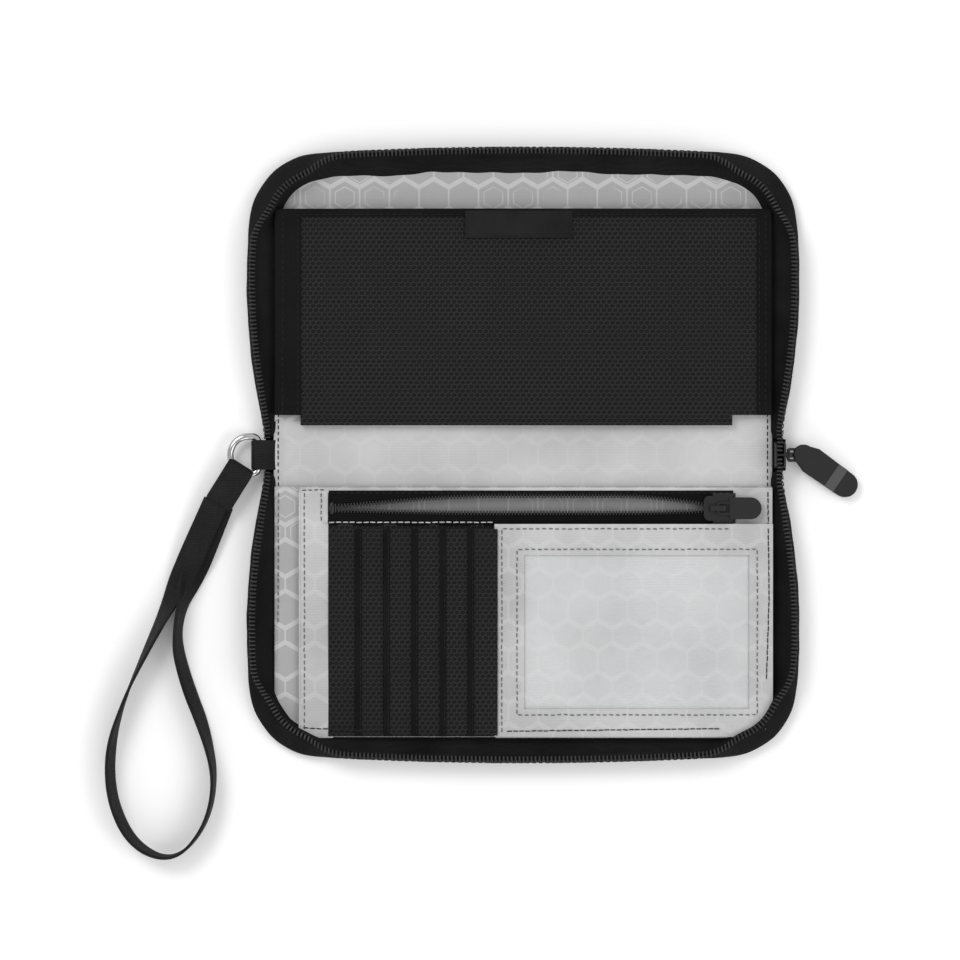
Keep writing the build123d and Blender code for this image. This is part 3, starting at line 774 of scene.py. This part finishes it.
def make_inner_zip():
    xs = np.arange(ZIP_LEFT + 0.4, ZIP_RIGHT, 1.2)
    for name, sign, reach in (("upper", 1, 3.6), ("lower", -1, 0.9)):
        inner = lens(xs, reach)
        rows = []
        for f in np.linspace(0, 1, 8):
            v = ZIP_V - sign * (inner * (1 - f) + 6.3 * f)
            rise = 0.35 * np.sin(f * math.pi) * (inner / 5)
            rows.append(np.stack([xs, -v, 6.0 + rise + 0.25 * (1 - f) * (inner / 5)], axis=1))
        grid = np.stack(rows)
        faces = facing_up(grid.reshape(-1, 3), quads(8, len(xs)))
        strip = piece(f"inner_tape_{name}", grid.reshape(-1, 3), faces, FLAT_TAPE, body="back_half",
                stands_for=[f"inner_zip_tape_{name}"])
        solid(strip, 0.35, -1.0)
        line = resample(np.stack([xs, -(ZIP_V - sign * inner), 6.28 + 0.05 * inner], axis=1)[2:], 1.12)
        along = tangents(line)
        across = np.cross(UP, along)
        bars(f"inner_coil_{name}", line, across / np.linalg.norm(across, axis=1)[:, None], UP, 1.55, 0.72,
                0.62, TEETH, body="back_half", stands_for=[f"inner_zip_teeth_{name}"])
    bars("inner_zip_end_stop", [(ZIP_LEFT + 1.5, -ZIP_V, 6.35)], ALONG_Y, UP, 4.2, 1.8, 0.9, METAL,
            body="back_half")
    # painted shade: a darker copy of the hex lining laid on the slip pocket where the open inner zip shows
    # the pocket's shadowed inside
    layer("zip_pocket_painted_shade", ZIP_LEFT + 0.4, ZIP_RIGHT - 0.4, 12.8, 25.0, -1, lambda x,
            v: 4.1 + ripple(x, v, 0.16), SHADE_PAINTED_LINING, 0)
    # the closed chain behind the slider, folded up inside it at rest, its teeth spaced from the inner zip's
    # travel
    travel = next(j for j in frame["joints"] if j["name"] == "inner_zip_travel")["range_m"][1] / MM
    start, end = 74.9, 67.6
    wanted = np.arange(end - travel, start, 1.0)
    table_x = np.linspace(end, start, 4001)
    t = np.clip((start - table_x) / (start - end), 0, 1)
    drawn = table_x - travel * t * t * (3 - 2 * t)
    rest_x = np.interp(wanted, drawn, table_x)
    bands = [(5.6, 6.12), (3.0, 6.3), (1.0, 6.42), (0.0, 6.45), (-1.0, 6.42), (-3.0, 6.3), (-5.6, 6.12)]
    grid = np.stack([np.stack([rest_x, -ZIP_V + y + 0 * rest_x, z + 0 * rest_x], axis=1) for y, z in bands])
    tape = (grid.reshape(-1, 3), [list(f) for f in facing_up(grid.reshape(-1, 3), quads(len(bands),
            len(rest_x)))])
    teeth = []
    for k, x in enumerate(rest_x):
        y = -ZIP_V + (0.55 if k % 2 else -0.55)
        v, f = capsule_mesh([(x, y, 6.55)], ALONG_Y, UP, 1.9, 0.01, 0.6)
        v[:, 0] = np.interp(wanted[k] + (v[:, 0] - x) * 90, drawn, table_x)
        teeth.append((v, f))
    chain = piece("inner_closed_chain", *joined(tape, *teeth), TEETH)
    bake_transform(chain)


CARD_LEFT, CARD_RIGHT, CARD_PITCH, CARD_TOP, CARD_FAR = -59.5, -9.9, 10.0, 26.4, 100.2
CARD_BASE_TOP = 22.6


def card_height(level):
    top = 6.0 + 0.42 * level
    return lambda x, v: top + 0.10 * np.sin(v * 0.13 + level) + 0.05 * np.sin(x * 0.4 + v * 0.07)


def make_cards():
    below = layer("card_base", ZIP_LEFT + 0.2, CARD_RIGHT, CARD_BASE_TOP, CARD_FAR, -1, card_height(0),
            MESH, 0.35, 1.8, stands_for=["card_base_panel"], rounded=0.1)
    runs = []
    for i in range(5):
        left = CARD_LEFT + CARD_PITCH * i
        name = f"card_slot_{i + 1}"
        height = card_height(i + 1)
        panel = layer(f"{name}_panel", left, CARD_RIGHT + 0.2 * i, CARD_TOP, CARD_FAR - 0.1 * i, -1,
                height, MESH, 0.32, 1.8, stands_for=[name], rounded=0.1)
        layer(f"{name}_binding", left - 0.25, left + 2.1, CARD_TOP, CARD_FAR, -1, lambda x, v,
                h=height: h(x, v) + 0.24, BINDING, 0.5, 0.8, rounded=0.14)
        below = panel
        runs.append([(left + 1.55, CARD_TOP + 0.8), (left + 1.55, CARD_FAR - 1)])
    sew("card_edge_stitches", runs, -1, lambda x, v: card_height(1)(x,
            v) + 0.42 * np.floor((x - CARD_LEFT) / CARD_PITCH) + 0.28, DARK_THREAD, 2.1, (1.4, 0.3, 0.26))


ID_LEFT, ID_RIGHT = -10.2, 84.8
WINDOW = (0.4, 80.4, 35.7, 90.4)


def id_height(x, v):
    crown = np.clip((x - ID_LEFT) / 8, 0, 1) * np.clip((88.8 - x) / 10, 0, 1) * np.clip((100 - v) / 8, 0, 1)
    return 7.3 + 1.0 * crown + ripple(x, v, 0.12)


def make_id_window():
    x0, x1, v0, v1 = WINDOW
    layer("id_backing_sheet", ID_LEFT + 1, ID_RIGHT, 26, 99.5, -1, lambda x, v: id_height(x, v) - 0.75,
            PANEL_NYLON, 0.25, 2.4, inset=5.0, slot="id_backing", stands_for=["id_backing"])
    frame_cut = {"x": [x0, x1], "v": [v0, v1], "test": lambda x,
            v: ~((x > x0) & (x < x1) & (v > v0) & (v < v1))}
    panel = layer("id_panel", ID_LEFT, 88.9, 24.6, 100.4, -1, id_height, PANEL_NYLON, 0.4, 2.0, inset=3.9,
            keep=frame_cut, stands_for=["id_frame"], rounded=0.12)
    film = layer("id_window_film", x0 - 2.2, x1 + 2.2, v0 - 2.2, v1 + 2.2, -1, lambda x, v: id_height(x,
            v) - 0.38 - 0.12 * np.sin(x * 0.09) * np.sin(v * 0.08), FILM, 0.18, 2.4,
            stands_for=["id_window"])
    sew("id_window_stitches", [[(x0 - 2.6, v0 - 2.1), (x1 + 2.9, v0 - 2.1), (x1 + 2.9, v1 + 2.1),
            (x0 - 2.6, v1 + 2.1), (x0 - 2.6, v0 - 2.1)]], -1, lambda x, v: id_height(x, v) + 0.12,
            GREY_THREAD, 2.3, (1.5, 0.42, 0.34))
    sew("id_outer_stitches", [[(-7.6, 26.3), (73.5, 26.3)], [(-7.6, 26.3), (-7.6, 99.0)]], -1, lambda x,
            v: id_height(x, v) + 0.12, GREY_THREAD, 2.3, (1.5, 0.42, 0.34))
    sew("panel_bottom_stitches", [[(-78.5, 97.2), (-60, 98.2), (-10, 98.4)], [(-6, 98.4), (70, 97.4)]], -1,
            lambda x, v: np.where(x < -10, np.where(x < -69.8, panel_height(x, v), 6.6), id_height(x,
            v)) + 0.14, DARK_THREAD, 2.2, (1.9, 0.4, 0.34))
    sew("panel_right_stitches", [[(87.2, 13), (87.5, 50), (86.6, 80)]], -1, lambda x, v: id_height(x,
            v) * (v > 25) + panel_height(x, v) * (v <= 25) + 0.14, DARK_THREAD, 2.2, (1.9, 0.4, 0.34))
    sew("left_band_stitches", [[(-77.9, 13.2), (-77.9, 98)], [(-71.9, 13.2), (-71.9, 23.6)], [(-87.2, 13),
            (-87.4, 60)]], -1, lambda x, v: np.where(x < -80, 4.15, panel_height(x, v)) + 0.14,
            GREY_THREAD, 2.3, (1.5, 0.42, 0.34))
    sew("zip_lower_stitches", [[(-71.9, 24.0), (-10.5, 24.0)]], -1, lambda x, v: 6.42 + 0 * x, PALE_THREAD,
            2.5, (1.9, 0.42, 0.36))
    sew("zip_upper_stitches", [[(-79, 12.5), (-70.5, 12.5)], [(-69.0, 13.5), (75, 13.5)]], -1, lambda x,
            v: np.where(v < 13, panel_height(x, v) + 0.12, 6.3), DARK_THREAD, 2.3, (1.5, 0.34, 0.3))


# ---- webbing: ring tab, keeper and wrist loop ---------------------------------------------------
def ribbon(path, across, width, thickness, rib=0.9, depth=0.1):
    """Verts and faces of ribbed webbing: path points with the direction across it at each."""
    p, w = np.asarray(path, float), np.asarray(across, float)
    w = w / np.linalg.norm(w, axis=1)[:, None]
    t = tangents(p)
    n = np.cross(t, w)
    n /= np.linalg.norm(n, axis=1)[:, None]
    s = np.r_[0, np.cumsum(np.linalg.norm(np.diff(p, axis=0), axis=1))]
    swell = depth * np.abs(np.sin(np.pi * s / rib))
    section = [(-0.5, -0.15), (-0.49, -0.42), (-0.44, -0.5), (-0.15, -0.5), (0.15, -0.5), (0.44, -0.5),
            (0.49, -0.42), (0.5, -0.15), (0.5, 0.15), (0.49, 0.42), (0.44, 0.5), (0.15, 0.5), (-0.15, 0.5),
            (-0.44, 0.5), (-0.49, 0.42), (-0.5, 0.15)]
    verts = np.stack([p + w * (a * width) + n * ((b * thickness) + np.sign(b) * swell * (abs(b) > 0.45))[:,
            None] for a, b in section], axis=1)
    k = len(section)
    faces = [list(f)[::-1] for f in quads(len(p), k, close_cols=True)]
    last = (len(p) - 1) * k
    faces += [list(range(k)), [last + i for i in range(k)][::-1]]
    return verts.reshape(-1, 3), faces


def loop_profile(centre, radius, reach, upper, lower, step=0.22):
    """(distance, height) points: out along the top, round the wire at 0 and back along the bottom."""
    angles = np.linspace(math.pi / 2, 3 * math.pi / 2, 30)
    bend = np.stack([radius * np.cos(angles), centre + radius * np.sin(angles)], axis=1)
    top = np.array([[reach, upper], [radius * 1.6, centre + radius * 0.96]])
    bottom = np.array([[radius * 1.6, centre - radius * 0.96], [reach, lower]])
    return resample(np.concatenate([top, bend, bottom]), step)


def make_ring_tab():
    profile = loop_profile(4.0, 1.95, 7.0, 3.9, 3.05)
    path = np.stack([-94.5 + profile[:, 0], 0 * profile[:, 0], profile[:, 1]], axis=1)
    verts, faces = ribbon(path, np.tile([0, 1.0, 0], (len(path), 1)), 10.6, 0.75)
    piece("ring_tab_webbing", verts, faces, WEBBING, body="spine", stands_for=["strap_tab"])


KEEPER_TURN = math.radians(238.0)
OUT = np.array([math.cos(KEEPER_TURN), math.sin(KEEPER_TURN), 0])
ASIDE = np.array([-OUT[1], OUT[0], 0])
ARC_CENTRE = np.array([-97.8, 0, 0])
# the wrist loop's route, from the keeper round and back to it
STRAP_ROUTE = [
    (-109.4, -16.7), (-117.0, -33.5), (-125.6, -52.0), (-134.2, -69.5), (-142.3, -87.0),
    (-147.6, -105.5), (-146.6, -124.0), (-138.6, -139.6), (-124.4, -145.2), (-113.2, -133.0),
    (-109.4, -116.0), (-113.2, -98.5), (-120.0, -81.5), (-124.0, -65.5), (-120.6, -49.5),
    (-113.9, -33.4), (-107.8, -17.7),
]
STRAP_W, STRAP_T = 9.2, 0.95


def route_points(route, heights):
    """Points along the route's own spline, as Blender draws it."""
    curve = bpy.data.curves.new("route", "CURVE")
    curve.dimensions = "3D"
    curve.resolution_u = 48
    spline = curve.splines.new("NURBS")
    spline.points.add(len(route) - 1)
    for point, (x, y), z in zip(spline.points, route, heights):
        point.co = (x * MM, y * MM, z * MM, 1)
    spline.order_u = 3
    spline.use_endpoint_u = True
    obj = bpy.data.objects.new("route", curve)
    bpy.context.scene.collection.objects.link(obj)
    bpy.context.view_layer.update()
    data = bpy.data.meshes.new_from_object(obj)
    points = np.array([v.co for v in data.vertices], float) / MM
    bpy.data.objects.remove(obj)
    bpy.data.meshes.remove(data)
    bpy.data.curves.remove(curve)
    return points


def make_wrist_loop():
    heights = [4.6, 3.9, 3.9, 4.4, 4.8, 4.8, 4.8, 4.8, 4.9, 4.9, 4.8, 4.6, 4.4, 4.2, 2.9, 2.4, 3.2]
    spine = resample(route_points(STRAP_ROUTE, heights), 0.225)
    s = np.linspace(0, 1, len(spine))
    # how far the webbing has turned from lying flat, in degrees, round the loop
    turn = np.interp(s, [0, 0.06, 0.11, 0.135, 0.165, 0.20, 0.25, 0.29, 0.34, 0.44, 0.48, 0.51, 0.55, 0.63,
            0.67, 0.71, 0.75, 0.80, 0.83, 0.865, 0.90, 0.93, 1.0], [0, 4, 26, 50, 66, 75, 86, 92, 105, 107,
            102, 92, 88, 85, 78, 68, 66, 69, 77, 72, 30, 6, 0])
    kernel = np.hanning(61)
    turn = np.convolve(np.pad(turn, 30, mode="edge"), kernel / kernel.sum(), "valid")
    t = tangents(spine)
    flat = np.cross(np.tile([0, 0, 1.0], (len(t), 1)), t)
    flat /= np.linalg.norm(flat, axis=1)[:, None]
    up = np.cross(t, flat)
    a = np.radians(turn)[:, None]
    across = np.cos(a) * flat + np.sin(a) * up
    half_tall = np.abs(across[:, 2]) * STRAP_W / 2 + 0.6
    spine[:, 2] = np.maximum(spine[:, 2], half_tall)
    verts, faces = ribbon(spine, across, STRAP_W, STRAP_T, rib=0.95, depth=0.11)
    strap = piece("wrist_loop", verts, faces, WEBBING, body="wrist_strap", stands_for=["wrist_strap"])

    profile = loop_profile(4.0, 2.0, 13.6, 5.75, 2.15)
    centre = ARC_CENTRE + OUT * 6.6
    path = centre + profile[:, :1] * OUT + np.stack([0 * profile[:, 1], 0 * profile[:, 1], profile[:, 1]],
            axis=1)
    verts, faces = ribbon(path, np.tile(ASIDE, (len(path), 1)), 10.0, 0.85)
    fold = resample([(9.8, 5.3), (13.6, 5.35), (14.1, 4.9), (14.1, 2.9), (13.6, 2.4), (9.8, 2.45)], 0.22)
    inner = centre + fold[:, :1] * OUT + np.stack([0 * fold[:, 1], 0 * fold[:, 1], fold[:, 1]], axis=1)
    core = ribbon(inner, np.tile(ASIDE, (len(inner), 1)), 9.8, 0.8)
    keeper = piece("keeper_fold", *joined((verts, faces), core), WEBBING, body="wrist_strap",
            stands_for=["strap_keeper"])
    at, along = [], []
    for d in (4.6, 12.4):
        for k in np.linspace(-3.8, 3.8, 5):
            at.append(centre + OUT * d + ASIDE * k + (0, 0, 6.3 if d > 5 else 6.42))
            along.append(ASIDE)
    sewn = bars("keeper_stitches", at, along, UP, 1.5, 0.34, 0.3, DARK_THREAD, slot="webbing",
            body="wrist_strap")


def make_slider_tab():
    verts = [(x, y, 1.55 - 0.25 * (abs(y) / 5.8) ** 4 - 0.2 * max(0, (x - 92.6) / 1.0) ** 2)
            for y in np.linspace(-5.6, 5.6, 17) for x in np.linspace(85.5, 93.8, 13)]
    tab = piece("slider_end_tab", verts, facing_up(verts, quads(17, 13)), BINDING, slot="zip_tape",
            body="spine", stands_for=["spine_end_tab"])
    solid(tab, 0.5, -1.0)


# ---- build --------------------------------------------------------------------------------------
for half_name, half_side in SIDES:
    make_cover(half_name, half_side)
    make_cover_seams(half_name, half_side)
    make_rim(half_name, half_side)
make_spine_cover()
make_inner_lining()
make_document_pocket()
make_organizer()
make_inner_zip()
make_cards()
make_id_window()
make_ring_tab()
make_wrist_loop()
make_slider_tab()

HARDWARE = {
    "d_ring": STEEL, "main_slider": METAL, "main_pull_link": METAL, "main_pull_tab": RUBBER,
    "main_pull_band": BAND, "inner_slider": METAL, "inner_pull_link": METAL, "inner_pull_tab": RUBBER,
}
for node, material in HARDWARE.items():
    part = NODES[node]
    for index in range(max(1, len(part.material_slots))):
        if part.material_slots:
            part.material_slots[index].material = material
        else:
            part.data.materials.append(material)


# ---- floor, light and camera --------------------------------------------------------------------
def make_floor():
    data = bpy.data.meshes.new("floor")
    data.from_pydata([(-3, -3, -0.0002), (3, -3, -0.0002), (3, 3, -0.0002), (-3, 3, -0.0002)], [], [(0, 1,
            2, 3)])
    s = Surface("floor_white", 0.9, 0.05)
    s.color(s.mix(s.noise(0.01, 1), gray(0.93), gray(0.96)))
    data.materials.append(s.m)
    floor = bpy.data.objects.new("floor", data)
    bpy.context.scene.collection.objects.link(floor)


def area_light(name, place, target, size, power):
    data = bpy.data.lights.new(name, "AREA")
    data.shape = "DISK"
    data.size = size
    data.energy = power
    light = bpy.data.objects.new(name, data)
    bpy.context.scene.collection.objects.link(light)
    place, target = np.array(place, float), np.array(target, float)
    light.location = place
    light.rotation_euler = Vector(target - place).to_track_quat("-Z", "Y").to_euler()


make_floor()
area_light("key", (-0.9, 0.9, 1.5), (0, 0, 0), 0.9, 13)
area_light("fill", (1.1, -0.4, 1.2), (0, 0, 0), 1.0, 6)
area_light("low", (0.2, -1.5, 0.7), (0, 0, 0), 0.8, 4)
world = bpy.data.worlds.new("studio")
world.use_nodes = True
world.node_tree.nodes["Background"].inputs[0].default_value = (1, 1, 1, 1)
world.node_tree.nodes["Background"].inputs[1].default_value = 0.75
bpy.context.scene.world = world
bpy.context.scene.view_settings.view_transform = "Standard"

camera_data = bpy.data.cameras.new("camera")
LENS, SENSOR, VIEW_WIDTH = 200, 36, 343
camera_data.lens = LENS
camera_data.sensor_width = SENSOR
camera_data.clip_end = 20
camera = bpy.data.objects.new("camera", camera_data)
bpy.context.scene.collection.objects.link(camera)
camera.location = (-15.36 * MM, -8.93 * MM, VIEW_WIDTH * MM * LENS / SENSOR)
camera.rotation_euler = (0, 0, 0)
bpy.context.scene.camera = camera
